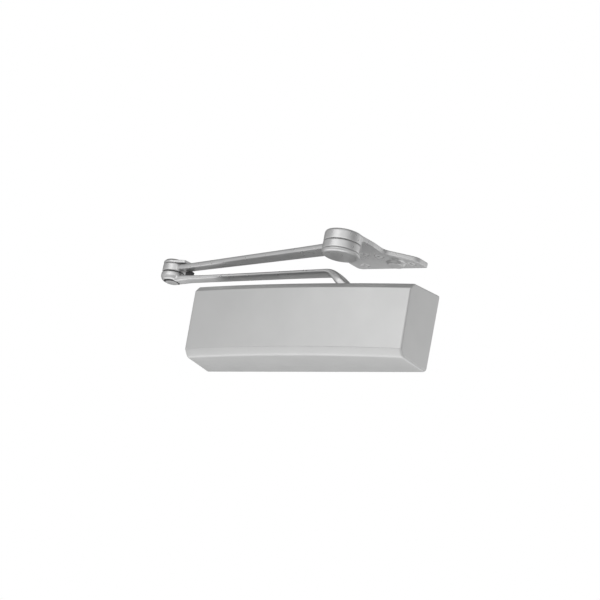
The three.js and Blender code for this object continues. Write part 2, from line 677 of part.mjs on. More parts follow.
// ---------------------------------------------------------------- soffit shoe
const SHOE_SCREWS = [[66, -38], [82, -29], [46, -2], [113, -3]];
const SHOE_SCREW_HEAD_R = 6;
const SHOE_BOSS = { x: 94, y: -8, r: 12.5, low: 86 };

const SHOE_ROUND = 2.6;              // rounding of the knuckle's top edge

function shoeOutline() {
  const { x, y } = SHOE;
  const r = SHOE.r - SHOE_ROUND;
  const shape = new THREE.Shape();
  shape.moveTo(x + r, y);
  shape.lineTo(93.2, -62);
  shape.lineTo(93.8, -44);
  shape.quadraticCurveTo(94.4, -38, 98.6, -34);
  shape.lineTo(120.5, -15.2);
  shape.quadraticCurveTo(126.3, -10.4, 127, -4);
  shape.lineTo(128.3, 8.5);
  shape.quadraticCurveTo(128.6, 11.5, 125.5, 11.5);
  shape.lineTo(36, 11.5);
  shape.quadraticCurveTo(29.5, 11.5, 28.5, 5);
  shape.lineTo(26.8, -8);
  shape.quadraticCurveTo(26, -16, 32, -23);
  shape.quadraticCurveTo(44, -36, 44, -60);
  shape.lineTo(x - r, y);
  shape.absarc(x, y, r, Math.PI, 2 * Math.PI);
  return shape;
}

function makeShoe() {
  const shoe = new THREE.Group();
  object.add(shoe);
  const { x, y, r } = SHOE;
  const plate = prism(shoeOutline(), SHOE_PLATE_LOW, SOFFIT_Z, 8);
  const knuckle = turned([
    [0, SHOE_KNUCKLE_LOW], [r - 0.6, SHOE_KNUCKLE_LOW], [r, SHOE_KNUCKLE_LOW + 0.6], [r, SOFFIT_Z - SHOE_ROUND],
    [r - 0.3 * SHOE_ROUND, SOFFIT_Z - 0.3 * SHOE_ROUND], [r - SHOE_ROUND, SOFFIT_Z - 0.01], [0, SOFFIT_Z - 0.01],
  ], 'z', x, y, 0, FINE);
  const boss = rod(SHOE_BOSS.r, SHOE_BOSS.low, SHOE_PLATE_LOW + 1, 'z', SHOE_BOSS.x, SHOE_BOSS.y, 0);
  const pinHole = rod(8 + GAP, SHOE_KNUCKLE_LOW - 5, SOFFIT_Z - 2, 'z', x, y, 0);
  const screwLength = SOFFIT_Z - SHOE_PLATE_LOW;
  const holes = SHOE_SCREWS.map(([sx, sy]) => countersunkHole(screwLength, SHOE_SCREW_HEAD_R, 'z', 0, 0, 0)
    .rotate([180, 0, 0]).translate([sx, sy, SOFFIT_Z]));
  add('soffit_shoe', cut(join(plate, knuckle, boss), pinHole, ...holes), MATERIALS.forged, shoe);

  SHOE_SCREWS.forEach(([sx, sy], i) => {
    const screw = countersunkScrew(screwLength - 1.0, SHOE_SCREW_HEAD_R - 0.6, 'z', 0, 0, 0);
    add(`shoe_screw_${i + 1}`, screw.rotate([180, 0, 0]).translate([sx, sy, SOFFIT_Z - 0.5]), MATERIALS.plated, shoe);
  });

  const pinLow = CAP_LOW + 1.6;
  const pin = turned([[0, pinLow], [8, pinLow], [8, SOFFIT_Z - 2.4], [0, SOFFIT_Z - 2.4]], 'z', x, y, 0);
  add('shoe_pivot_pin', pin, MATERIALS.steel, shoe);
  const cap = turned([
    [0, CAP_LOW], [r - 3.2, CAP_LOW], [r - 1.1, CAP_LOW + 1.1], [r, CAP_LOW + 2.9], [r, CAP_LOW + 3.8],
    [r - 0.4, CAP_LOW + 4.2], [0, CAP_LOW + 4.2],
  ], 'z', x, y, 0, FINE);
  const blindHole = rod(8 + GAP, pinLow - GAP, CAP_LOW + 8, 'z', x, y, 0);
  add('shoe_pivot_cap', cut(cap, blindHole), MATERIALS.forged, shoe);
}

// ---------------------------------------------------------------- assembly
makeCover();
makeMountingPlate();
makeCoverClips();
makeCloserBody();
makeEndPlugs();
makeSpindle();
makePiston();
makeSpring();
makeMainArm();
makeForearm();
makeShoe();

export default object;
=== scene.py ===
import json
import math

import bmesh
import bpy
from mathutils import Matrix, Vector


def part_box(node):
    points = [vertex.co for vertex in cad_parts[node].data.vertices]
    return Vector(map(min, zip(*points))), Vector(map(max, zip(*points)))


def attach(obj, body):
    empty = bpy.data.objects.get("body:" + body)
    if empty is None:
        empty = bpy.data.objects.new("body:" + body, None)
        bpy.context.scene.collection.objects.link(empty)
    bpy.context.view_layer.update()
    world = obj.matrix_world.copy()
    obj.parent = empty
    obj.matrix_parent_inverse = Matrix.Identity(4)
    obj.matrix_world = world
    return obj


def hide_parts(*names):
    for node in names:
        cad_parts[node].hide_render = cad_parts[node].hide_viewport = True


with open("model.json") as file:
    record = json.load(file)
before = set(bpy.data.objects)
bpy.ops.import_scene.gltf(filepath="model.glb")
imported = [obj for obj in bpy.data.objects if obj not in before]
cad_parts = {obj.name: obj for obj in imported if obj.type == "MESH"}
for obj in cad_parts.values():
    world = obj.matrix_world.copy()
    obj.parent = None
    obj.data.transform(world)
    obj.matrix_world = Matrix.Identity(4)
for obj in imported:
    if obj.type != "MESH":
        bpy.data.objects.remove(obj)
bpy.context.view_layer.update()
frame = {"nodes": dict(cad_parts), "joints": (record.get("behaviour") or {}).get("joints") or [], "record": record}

MM = 0.001
FINE = 96                # segments round a turned piece
CREASE_ANGLE = 32        # edges sharper than this, in degrees, stay crisp in the shading
FORGED_ANGLE = 85        # and on forgings, whose skin is a fine mesh of small faces
JOINTS = {joint["name"]: joint for joint in frame["joints"]}
SPINDLE = Vector(JOINTS["spindle_turn"]["pos_m"])
ELBOW = Vector(JOINTS["elbow_turn"]["pos_m"])
SHOE = Vector(JOINTS["shoe_turn"]["pos_m"])
SPINDLE_AXIS, ELBOW_AXIS, SHOE_AXIS = ((joint.x, joint.y, 0) for joint in (SPINDLE, ELBOW, SHOE))
BODIES = frame["record"]["behaviour"]["bodies"]
NODE_BODY = {node: body for body, nodes in BODIES.items() for node in nodes}
NODE_SLOT = {part["node"]: part["material_slot"] for part in frame["record"]["subparts"]}


# ------------------------------------------------------------------ mesh helpers
def new_object(name, verts, faces):
    mesh = bpy.data.meshes.new(name)
    mesh.from_pydata([tuple(v) for v in verts], [], faces)
    mesh.validate()
    obj = bpy.data.objects.new(name, mesh)
    bpy.context.collection.objects.link(obj)
    return obj


def merged(*parts):
    """Several (verts, faces) shells as one pair."""
    verts, faces = [], []
    for part_verts, part_faces in parts:
        first = len(verts)
        verts += part_verts
        faces += [[first + i for i in face] for face in part_faces]
    return verts, faces


def outward(verts, faces):
    """The same shell with its faces turned outwards."""
    bm = bmesh.new()
    for v in verts:
        bm.verts.new(v)
    bm.verts.ensure_lookup_table()
    for face in faces:
        bm.faces.new([bm.verts[i] for i in face])
    bmesh.ops.recalc_face_normals(bm, faces=bm.faces)
    faces = [[v.index for v in face.verts] for face in bm.faces]
    bm.free()
    return verts, faces


def loft(rings):
    """Closed shell through rings of equal point count, with a flat face over each end."""
    count = len(rings[0])
    verts = [Vector(p) for ring in rings for p in ring]
    faces = []
    for i in range(len(rings) - 1):
        for j in range(count):
            k = (j + 1) % count
            faces.append([i * count + j, i * count + k, (i + 1) * count + k, (i + 1) * count + j])
    faces.append(list(range(count)))
    faces.append([(len(rings) - 1) * count + j for j in reversed(range(count))])
    return outward(verts, faces)


def lathe(profile, centre, segments):
    """Upright shell of revolution. profile is (radius, height) in metres, from axis to axis."""
    verts, faces, rows = [], [], []
    for radius, height in profile:
        steps = 1 if radius < 1e-9 else segments
        rows.append([len(verts) + i for i in range(steps)])
        for i in range(steps):
            angle = 2 * math.pi * i / segments
            local = Vector((radius * math.cos(angle), radius * math.sin(angle), height))
            verts.append(local + Vector(centre))
    for low, high in zip(rows, rows[1:]):
        for i in range(segments):
            k = (i + 1) % segments
            if len(low) == 1 and len(high) == 1:
                continue
            if len(low) == 1:
                faces.append([low[0], high[i], high[k]])
            elif len(high) == 1:
                faces.append([low[i], low[k], high[0]])
            else:
                faces.append([low[i], low[k], high[k], high[i]])
    return outward(verts, faces)


def rounded(points, radii, steps=6, closed=True):
    """A polygon in the plane with each corner turned into an arc of its own radius."""
    result = []
    count = len(points)
    for i, point in enumerate(points):
        here = Vector(point)
        if radii[i] <= 0 or (not closed and i in (0, count - 1)):
            result.append(here)
            continue
        back = Vector(points[i - 1]) - here
        ahead = Vector(points[(i + 1) % count]) - here
        angle = back.angle(ahead)
        if angle > math.pi - 1e-3:
            result.append(here)
            continue
        reach = min(radii[i] / math.tan(angle / 2), 0.49 * back.length, 0.49 * ahead.length)
        start = here + back.normalized() * reach
        end = here + ahead.normalized() * reach
        radius = reach * math.tan(angle / 2)
        middle = (back.normalized() + ahead.normalized()).normalized()
        centre = here + middle * radius / math.sin(angle / 2)
        first, last = start - centre, end - centre
        sweep = first.angle(last)
        for step in range(steps + 1):
            share = step / steps
            weight = math.sin((1 - share) * sweep), math.sin(share * sweep)
            result.append(centre + (first * weight[0] + last * weight[1]) / math.sin(sweep))
    return result


def turned(profile_mm, soften_mm, centre, segments=FINE):
    """Lathe from a profile in millimetres whose corners are softened."""
    radii = [soften_mm] * len(profile_mm)
    soft = rounded([(r, h) for r, h in profile_mm], radii, steps=4, closed=False)
    return lathe([(max(p.x, 0) * MM, p.y * MM) for p in soft], centre, segments)


def bore(radius, low, high, centre):
    """A plain upright cylinder that cuts a hole, in millimetres."""
    return turned([(0, low), (radius, low), (radius, high), (0, high)], 0, centre)


def ring_piece(name, inner, outer, low, high, centre, soften):
    """A plain upright ring with softened edges, in millimetres."""
    corners = [(inner, low), (outer, low), (outer, high), (inner, high)]
    loop = rounded(corners, [soften] * 4, steps=3)
    rings = []
    for i in range(FINE):
        angle = 2 * math.pi * i / FINE
        rings.append([
            Vector((p.x * MM * math.cos(angle), p.x * MM * math.sin(angle), p.y * MM)) + Vector(centre)
            for p in loop
        ])
    count = len(loop)
    verts = [v for ring in rings for v in ring]
    faces = []
    for i in range(FINE):
        for j in range(count):
            k = (j + 1) % count
            n = (i + 1) % FINE
            faces.append([i * count + j, i * count + k, n * count + k, n * count + j])
    return new_object(name, *outward(verts, faces))


def prism(outline, low, high):
    """Upright prism of an outline in X and Y."""
    ring = [(p[0], p[1]) for p in outline]
    return loft([[(x, y, low) for x, y in ring], [(x, y, high) for x, y in ring]])


def box_shell(low, high):
    outline = [(low[0], low[1]), (high[0], low[1]), (high[0], high[1]), (low[0], high[1])]
    return prism(outline, low[2], high[2])


def settle(obj):
    """Applies an object's modifiers to its mesh."""
    bpy.context.view_layer.update()
    graph = bpy.context.evaluated_depsgraph_get()
    mesh = bpy.data.meshes.new_from_object(obj.evaluated_get(graph))
    old = obj.data
    obj.modifiers.clear()
    obj.data = mesh
    mesh.name = obj.name
    bpy.data.meshes.remove(old)
    return obj


def carve(obj, *tools):
    """Cuts closed shells out of an object."""
    for tool in tools:
        cutter = new_object("cutter", *tool)
        cut = obj.modifiers.new("cut", "BOOLEAN")
        cut.operation = "DIFFERENCE"
        cut.solver = "EXACT"
        cut.object = cutter
        settle(obj)
        bpy.data.objects.remove(cutter, do_unlink=True)


def forged(name, parts, voxel_mm, passes):
    """Overlapping shells grown into one skin, with soft fillets where they meet."""
    obj = new_object(name, *merged(*parts))
    grow = obj.modifiers.new("grow", "REMESH")
    grow.mode = "VOXEL"
    grow.voxel_size = voxel_mm * MM
    smooth = obj.modifiers.new("smooth", "SMOOTH")
    smooth.factor = 0.5
    smooth.iterations = passes
    return settle(obj)


def shade(obj, angle):
    """Smooth shading that keeps edges sharper than angle, in degrees."""
    for polygon in obj.data.polygons:
        polygon.use_smooth = True
    obj.data.set_sharp_from_angle(angle=math.radians(angle))


def hand_over(obj, node, material, angle=CREASE_ANGLE):
    """Puts a finished piece in place of its CAD node: material, shading and body."""
    obj.data.materials.clear()
    obj.data.materials.append(material)
    shade(obj, angle)
    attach(obj, NODE_BODY[node])
    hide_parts(node)


# ------------------------------------------------------------------ materials
def node_material(name):
    material = bpy.data.materials.new(name)
    material.use_nodes = True
    tree = material.node_tree
    tree.nodes.clear()
    output = tree.nodes.new("ShaderNodeOutputMaterial")
    shader = tree.nodes.new("ShaderNodeBsdfPrincipled")
    tree.links.new(shader.outputs["BSDF"], output.inputs["Surface"])
    return material, tree, shader


def noise(tree, scale, detail, stretch=(1, 1, 1)):
    """Noise in the object's own metres. scale is in features per metre."""
    place = tree.nodes.new("ShaderNodeTexCoord")
    mapping = tree.nodes.new("ShaderNodeMapping")
    mapping.inputs["Scale"].default_value = stretch
    texture = tree.nodes.new("ShaderNodeTexNoise")
    texture.inputs["Scale"].default_value = scale
    texture.inputs["Detail"].default_value = detail
    texture.inputs["Roughness"].default_value = 0.55
    tree.links.new(place.outputs["Object"], mapping.inputs["Vector"])
    tree.links.new(mapping.outputs["Vector"], texture.inputs["Vector"])
    return texture.outputs["Fac"]


def ramp(tree, value, low, high):
    """Colours or greys from low to high as value goes from 0.3 to 0.7."""
    node = tree.nodes.new("ShaderNodeValToRGB")
    node.color_ramp.elements[0].position = 0.3
    node.color_ramp.elements[1].position = 0.7
    for element, colour in zip(node.color_ramp.elements, (low, high)):
        grey = not isinstance(colour, tuple)
        element.color = (colour, colour, colour, 1) if grey else (*colour, 1)
    tree.links.new(value, node.inputs["Fac"])
    return node.outputs["Color"]


def edge_wear_and_highlight(tree, colour, edge_colour, strength):
    """Lightens edges: partly wear, where a finish is polished by handling, and partly painted highlight,
    the bright line that light draws along a rounded edge. There the normal of a slightly rounded
    edge turns away from the true one, so the two agree less."""
    geometry = tree.nodes.new("ShaderNodeNewGeometry")
    rounding = tree.nodes.new("ShaderNodeBevel")
    rounding.samples = 4
    rounding.inputs["Radius"].default_value = 0.4 * MM
    agreement = tree.nodes.new("ShaderNodeVectorMath")
    agreement.operation = "DOT_PRODUCT"
    tree.links.new(rounding.outputs["Normal"], agreement.inputs[0])
    tree.links.new(geometry.outputs["Normal"], agreement.inputs[1])
    edge = tree.nodes.new("ShaderNodeMapRange")
    edge.inputs["From Min"].default_value = 0.995
    edge.inputs["From Max"].default_value = 0.9
    edge.inputs["To Max"].default_value = strength
    tree.links.new(agreement.outputs["Value"], edge.inputs["Value"])
    mix = tree.nodes.new("ShaderNodeMix")
    mix.data_type = "RGBA"
    mix.inputs["B"].default_value = (*edge_colour, 1)
    tree.links.new(edge.outputs["Result"], mix.inputs["Factor"])
    tree.links.new(colour, mix.inputs["A"])
    return mix.outputs["Result"]


def bumps(tree, shader, layers):
    """Stacks bump layers, each (height value, depth in millimetres, strength)."""
    normal = None
    for height, depth, strength in layers:
        bump = tree.nodes.new("ShaderNodeBump")
        bump.inputs["Distance"].default_value = depth * MM
        bump.inputs["Strength"].default_value = strength
        tree.links.new(height, bump.inputs["Height"])
        if normal is not None:
            tree.links.new(normal, bump.inputs["Normal"])
        normal = bump.outputs["Normal"]
    tree.links.new(normal, shader.inputs["Normal"])


def metal(name, low, high, metallic, rough, patches, grain, stretch=(1, 1, 1), edge=None, coat=0.0):
    """A metal finish. low and high are its colour range, rough its roughness range and patches the
    features per metre of its colour. grain is a list of (features per metre, depth in mm, strength),
    stretch the direction of brushing and edge the colour and strength of its lighter edges, partly
    wear and partly painted highlight."""
    material, tree, shader = node_material(name)
    shader.inputs["Metallic"].default_value = metallic
    shader.inputs["Coat Weight"].default_value = coat
    shader.inputs["Coat Roughness"].default_value = 0.25
    colour = ramp(tree, noise(tree, patches, 5.0), low, high)
    # Lighter edges: partly wear, partly painted highlight along the rounded edges.
    if edge:
        colour = edge_wear_and_highlight(tree, colour, *edge)
    tree.links.new(colour, shader.inputs["Base Color"])
    roughness = ramp(tree, noise(tree, patches * 3, 4.0, stretch), *rough)
    tree.links.new(roughness, shader.inputs["Roughness"])
    layers = [(noise(tree, scale, 3.0, stretch), depth, strength) for scale, depth, strength in grain]
    bumps(tree, shader, layers)
    return material


FINISHES = {
    "cover_paint": dict(
        low=(0.605, 0.607, 0.605), high=(0.64, 0.642, 0.638), metallic=0.5, rough=(0.36, 0.42), patches=14,
        grain=[(1800, 0.02, 0.35), (260, 0.05, 0.12)], edge=((0.74, 0.735, 0.72), 0.6), coat=0.08),
    "forged_steel": dict(
        low=(0.62, 0.62, 0.62), high=(0.69, 0.69, 0.69), metallic=0.72, rough=(0.26, 0.36), patches=40,
        grain=[(1500, 0.02, 0.35), (190, 0.12, 0.22), (45, 0.3, 0.12)], edge=((0.8, 0.8, 0.8), 0.75)),
    # Near-black steel, on the elbow's thrust washer; on the main arm's stop lug and on the elbow pin's flank it is
    # painted shade.
    "dark_steel_and_painted_shade": dict(
        low=(0.045, 0.045, 0.047), high=(0.09, 0.09, 0.092), metallic=0.5, rough=(0.45, 0.6), patches=60,
        grain=[(1500, 0.02, 0.35), (190, 0.12, 0.22)], edge=((0.16, 0.16, 0.16), 0.5)),
    "body_casting": dict(
        low=(0.20, 0.21, 0.215), high=(0.27, 0.28, 0.285), metallic=0.35, rough=(0.45, 0.6), patches=60,
        grain=[(900, 0.12, 0.6), (220, 0.2, 0.4)], edge=((0.42, 0.42, 0.42), 0.5)),
    "machined_steel": dict(
        low=(0.50, 0.51, 0.52), high=(0.60, 0.61, 0.62), metallic=1.0, rough=(0.2, 0.34), patches=50,
        grain=[(700, 0.02, 0.4)], stretch=(5, 1, 1), edge=((0.75, 0.75, 0.76), 0.6)),
    "zinc_steel": dict(
        low=(0.50, 0.51, 0.53), high=(0.62, 0.63, 0.64), metallic=0.95, rough=(0.28, 0.46), patches=70,
        grain=[(500, 0.02, 0.3)], stretch=(0.15, 1, 3), edge=((0.78, 0.78, 0.78), 0.6)),
    "plated_fasteners": dict(
        low=(0.78, 0.78, 0.78), high=(0.86, 0.86, 0.86), metallic=0.6, rough=(0.3, 0.42), patches=120,
        grain=[(1200, 0.02, 0.3)], edge=((0.85, 0.85, 0.84), 0.7)),
    "bronze": dict(
        low=(0.42, 0.27, 0.13), high=(0.55, 0.37, 0.19), metallic=0.95, rough=(0.35, 0.5), patches=90,
        grain=[(1600, 0.04, 0.5)], edge=((0.7, 0.5, 0.28), 0.5)),
    "brass": dict(
        low=(0.60, 0.46, 0.2), high=(0.7, 0.56, 0.28), metallic=1.0, rough=(0.2, 0.34), patches=90,
        grain=[(900, 0.02, 0.35)], edge=((0.85, 0.7, 0.4), 0.6)),
    "spring_steel": dict(
        low=(0.10, 0.105, 0.12), high=(0.17, 0.175, 0.19), metallic=0.9, rough=(0.3, 0.42), patches=80,
        grain=[(1200, 0.03, 0.4)], edge=((0.3, 0.3, 0.32), 0.4)),
    "seal_rubber": dict(
        low=(0.018, 0.018, 0.018), high=(0.032, 0.032, 0.032), metallic=0.0, rough=(0.6, 0.8), patches=100,
        grain=[(1400, 0.04, 0.5)]),
}
MATERIALS = {name: metal(name, **finish) for name, finish in FINISHES.items()}


# ------------------------------------------------------------------ cover
COVER_LOW, COVER_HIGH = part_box("cover")
COVER_CENTRE = (COVER_LOW.x + COVER_HIGH.x) / 2
COVER_HALF = (COVER_HIGH.x - COVER_LOW.x) / 2
COVER_TOP = COVER_HIGH.z
COVER_BOW = 9 * MM
COVER_LEAN = 1.2 * MM        # the front leans out by this much at its top, and in at its bottom
COVER_DEPTH = -COVER_LOW.y - COVER_BOW - COVER_LEAN
COVER_WALL = 2 * MM
TOP_FALL = 4.9 * MM
BOTTOM_RISE = 1.2 * MM
END_DRAFT = 3.1 * MM
TOP_BEVEL = 7.5 * MM
BOTTOM_BEVEL = 8.4 * MM
SECTION_RADII = [1.2 * MM, 3.0 * MM, 1.6 * MM, 1.8 * MM, 7.0 * MM, 1.2 * MM]     # from the top's back edge
END_CORNER, END_LOW_CORNER = 1.8 * MM, 3.6 * MM         # rounding of the ends, above and along the bottom
HOLLOW_CORNER, HOLLOW_LOW_CORNER = 1.0 * MM, 1.5 * MM
HOLLOW_BACK = 3 * MM         # the hollow is cut out past the open back
CORNER_BLEND = (0.5, 0.45)   # where the two roundings blend: start and length, in shares of the half height
NOTCH_HALF = 18 * MM
NOTCH_LOW, NOTCH_HIGH = COVER_TOP - 25 * MM, COVER_TOP + 10 * MM


def cover_outline(depth, inset, back):
    """The cover's section in Y and Z, moved inwards by inset, from the back edge of the top round to
    the back edge of the bottom."""
    shift = inset * math.tan(math.pi / 8)
    front = -depth + inset
    top_edge = -depth - COVER_LEAN + TOP_BEVEL + shift
    bottom_edge = -depth + COVER_LEAN + BOTTOM_BEVEL + shift

    def top(y):
        return COVER_TOP + TOP_FALL * y / COVER_DEPTH - inset

    def bottom(y):
        return -COVER_TOP - BOTTOM_RISE * y / COVER_DEPTH + inset

    corners = [
        (back, top(back)),
        (top_edge, top(top_edge)),
        (front - COVER_LEAN, top(front) - TOP_BEVEL + inset - shift),
        (front + COVER_LEAN, bottom(front) + BOTTOM_BEVEL - inset + shift),
        (bottom_edge, bottom(bottom_edge)),
        (back, bottom(back)),
    ]
    return rounded(corners, SECTION_RADII, steps=6)


def cover_block(inset, back, corner, low_corner):
    """Closed block of the cover's outside, or of its hollow when inset. corner rounds its two ends
    along the top and front, low_corner along the bottom."""
    half = COVER_HALF - inset
    reach = max(corner, low_corner)
    turns, steps = 10, 48
    ends = [reach * (1 - math.cos(math.pi / 2 * i / turns)) for i in range(turns + 1)]
    inner = half - reach
    middle = [-inner + 2 * inner * i / steps for i in range(1, steps)]
    places = [(-half + e, e) for e in ends] + [(x, reach) for x in middle]
    places += [(half - e, e) for e in reversed(ends)]

    def lost(radius, from_end):
        """How far the section shrinks at this distance from an end with that rounding."""
        return radius - math.sqrt(max(radius ** 2 - max(radius - from_end, 0) ** 2, 0))

    blend_from, blend_over = (share * COVER_TOP for share in CORNER_BLEND)
    rings = []
    for x, from_end in places:
        depth = COVER_DEPTH + COVER_BOW * (1 - (x / COVER_HALF) ** 2)
        upper = cover_outline(depth, inset + lost(corner, from_end), back)
        lower = cover_outline(depth, inset + lost(low_corner, from_end), back)
        ring = []
        for p, q in zip(upper, lower):
            share = min(max((-p.y - blend_from) / blend_over, 0), 1)
            m = p.lerp(q, share)
            ring.append((COVER_CENTRE + x * (1 + END_DRAFT / half * m.x / COVER_DEPTH), m.x, m.y))
        rings.append(ring)
    return loft(rings)


def make_cover():
    shell = new_object("cover_shell", *cover_block(0, COVER_HIGH.y, END_CORNER, END_LOW_CORNER))
    hollow = cover_block(COVER_WALL, HOLLOW_BACK, HOLLOW_CORNER, HOLLOW_LOW_CORNER)
    notch = [(SPINDLE.x + NOTCH_HALF, 5 * MM), (SPINDLE.x - NOTCH_HALF, 5 * MM)]
    arc = 24
    for i in range(arc + 1):
        angle = math.pi + math.pi * i / arc
        notch.append((SPINDLE.x + NOTCH_HALF * math.cos(angle), SPINDLE.y + NOTCH_HALF * math.sin(angle)))
    carve(shell, hollow, prism(notch, NOTCH_LOW, NOTCH_HIGH))
    hand_over(shell, "cover", MATERIALS["cover_paint"])


# ------------------------------------------------------------------ levers
FORGING_VOXEL, FORGING_PASSES = 0.7, 5       # grain of a forging's skin in millimetres, and its smoothing


def catmull_rom(a, b, c, d, t):
    """Value at t between b and c, on the smooth curve through all four."""
    square, cube = 2 * a - 5 * b + 4 * c - d, 3 * b - a - 3 * c + d
    return 0.5 * (2 * b + (c - a) * t + square * t ** 2 + cube * t ** 3)


def smooth_between(stations, step):
    """Smooth curve through rows of numbers; the first number of each row is the running length."""
    rows = []
    for i in range(len(stations) - 1):
        before = stations[max(i - 1, 0)]
        here, there = stations[i], stations[i + 1]
        after = stations[min(i + 2, len(stations) - 1)]
        pieces = max(1, round((there[0] - here[0]) / step))
        for k in range(pieces):
            rows.append([catmull_rom(*four, k / pieces) for four in zip(before, here, there, after)])
    rows.append(list(stations[-1]))
    return rows


def bar_ring(centre, side, up, width, height, squareness=0.5, points=48):
    """Rounded-bar section across a lever."""
    ring = []
    for i in range(points):
        angle = 2 * math.pi * (i + 0.5) / points
        c, s = math.cos(angle), math.sin(angle)
        across = math.copysign(abs(c) ** squareness, c) * width / 2
        raised = math.copysign(abs(s) ** squareness, s) * height / 2
        ring.append(centre + side * across + up * raised)
    return ring


# Levels above the origin, radii and stations of the levers are in millimetres.
ARM_STATIONS = [             # x, middle height, width and height of the main arm
    (-222, 64.6, 15.2, 8.2),
    (-212, 64.5, 17, 8.0),
    (-203, 64.9, 17.5, 7.0),
    (-194, 65.2, 17.6, 6.2),
    (-170, 65.4, 18, 5.2),
    (-100, 67, 19.5, 4.9),
    (-20, 69, 22, 4.9),
    (8, 69.5, 23, 5.1),
    (16, 69.5, 23, 5.8),
    (21, 68.5, 23, 7.4),
    (26, 65.8, 23.5, 9.4),
    (31, 61.8, 24, 10.8),
    (37, 56.6, 24, 11.8),
    (42, 52.3, 20, 12),
    (46, 49, 17, 11),
]
HUB_LOW, HUB_HIGH, HUB_R, HUB_CHAMFER = 41.5, 50.5, 16, 1.4
SPINDLE_HOLE_R = 7.4
HUB_SCREW_SEAT, HUB_SCREW_HOLE_R = 50.3, 8.6
KNUCKLE_LOW, KNUCKLE_HIGH, KNUCKLE_R = 62, 72.1, 15.3
LUG_LOW, LUG_HIGH = (20.5, -3.5, 66), (31, 2.5, 74.7)       # X and Y from the elbow's axis
# The stop lug's faces above this level, and this far round it, get painted shade: near-black, as the shadow
# between the two arms.
LUG_PAINTED_SHADE_FROM, LUG_PAINTED_SHADE_MARGIN = 68.8, 1.2
PIN_HEAD_R, PIN_HEAD_LOW, PIN_HEAD_HIGH, PIN_CHAMFER = 10.5, 60.6, 63.4, 2.2
PIN_HEAD_GAP = 0.5, 0.3      # room round and above the pin's head
PIN_R, PIN_TIP_R, PIN_HOLE_R = 6, 5.2, 6.3
PIN_SHOULDER, PIN_HIGH = 82.6, 83.2
WASHER_LOW, WASHER_HIGH, WASHER_R = 72.4, 73.1, 13.8


def make_main_arm():
    rows = smooth_between(ARM_STATIONS, 3)
    rings = []
    for i, (x, z, width, height) in enumerate(rows):
        behind, ahead = rows[max(i - 1, 0)], rows[min(i + 1, len(rows) - 1)]
        slope = math.atan2(behind[1] - ahead[1], ahead[0] - behind[0])
        centre = Vector((x * MM, SPINDLE.y, z * MM))
        up = Vector((math.sin(slope), 0, math.cos(slope)))
        rings.append(bar_ring(centre, Vector((0, 1, 0)), up, width * MM, height * MM))
    knuckle = turned([
        (0, KNUCKLE_LOW), (KNUCKLE_R - 3.7, KNUCKLE_LOW), (KNUCKLE_R - 1.6, KNUCKLE_LOW + 1.6),
        (KNUCKLE_R, KNUCKLE_LOW + 5), (KNUCKLE_R, KNUCKLE_HIGH), (0, KNUCKLE_HIGH),
    ], 0.8, ELBOW_AXIS)
    lug_low, lug_high = (
        Vector((ELBOW.x + x * MM, ELBOW.y + y * MM, z * MM)) for x, y, z in (LUG_LOW, LUG_HIGH)
    )
    hub = turned([
        (0, HUB_LOW), (HUB_R, HUB_LOW), (HUB_R, HUB_HIGH - HUB_CHAMFER), (HUB_R - HUB_CHAMFER, HUB_HIGH),
        (0, HUB_HIGH),
    ], 0.5, SPINDLE_AXIS)
    shells = [loft(rings), knuckle, box_shell(lug_low, lug_high), hub]
    arm = forged("main_arm_forging", shells, FORGING_VOXEL, FORGING_PASSES)
    below_hub = (
        (SPINDLE.x - 30 * MM, SPINDLE.y - 30 * MM, 30 * MM),
        (SPINDLE.x + 40 * MM, SPINDLE.y + 30 * MM, HUB_LOW * MM),
    )
    recess_r, recess_high = PIN_HEAD_R + PIN_HEAD_GAP[0], PIN_HEAD_HIGH + PIN_HEAD_GAP[1]
    pin_recess = turned([
        (0, 58), (recess_r, 58), (recess_r, recess_high), (PIN_HOLE_R, recess_high), (PIN_HOLE_R, 80),
        (0, 80),
    ], 0, ELBOW_AXIS)
    carve(
        arm,
        box_shell(*below_hub),
        bore(SPINDLE_HOLE_R, 38, 70, SPINDLE_AXIS),
        bore(HUB_SCREW_HOLE_R, HUB_SCREW_SEAT, 72, SPINDLE_AXIS),
        pin_recess,
    )
    hand_over(arm, "main_arm", MATERIALS["forged_steel"], FORGED_ANGLE)
    # Painted shade: the lug's upper faces take the near-black steel, as the shadow the forearm casts between the
    # arms.
    arm.data.materials.append(MATERIALS["dark_steel_and_painted_shade"])
    margin = LUG_PAINTED_SHADE_MARGIN * MM
    for face in arm.data.polygons:
        place = face.center
        beside_lug = all(lug_low[i] - margin < place[i] < lug_high[i] + margin for i in (0, 1))
        if beside_lug and place.z > LUG_PAINTED_SHADE_FROM * MM:
            face.material_index = 1


FOREARM_STATIONS = [         # distance from the elbow, width and height of the forearm
    (0, 15.5, 7.6),
    (12, 15.8, 7.5),
    (22, 15.5, 7.2),
    (40, 15.7, 6.8),
    (120, 19.6, 6.8),
    (220, 23.8, 6.9),
    (262, 26, 7.2),
    (284, 28, 7.4),
    (292, 28.5, 7.4),
]
FOREARM_LEVEL = 78.7
ELBOW_EYE_LOW, ELBOW_EYE_HIGH, ELBOW_EYE_R = 73.4, 83.4, 15
SHOE_EYE_LOW, SHOE_EYE_HIGH = 71.8, 82.5
ELBOW_BUSHING_R, SHOE_BUSHING_R = 9.0, 11.0
CAP_LOW, CAP_SHOULDER, CAP_HIGH, CAP_CHAMFER = 83.7, 86.6, 89.1, 2.4
CAP_TAIL_END, CAP_TAIL_HALF, CAP_TAIL_ROOT, CAP_TAIL_HIGH = 24, 6.5, 14.4, 87.2


def forearm_direction():
    run = Vector((SHOE.x - ELBOW.x, SHOE.y - ELBOW.y, 0)).normalized()
    return run, Vector((-run.y, run.x, 0))


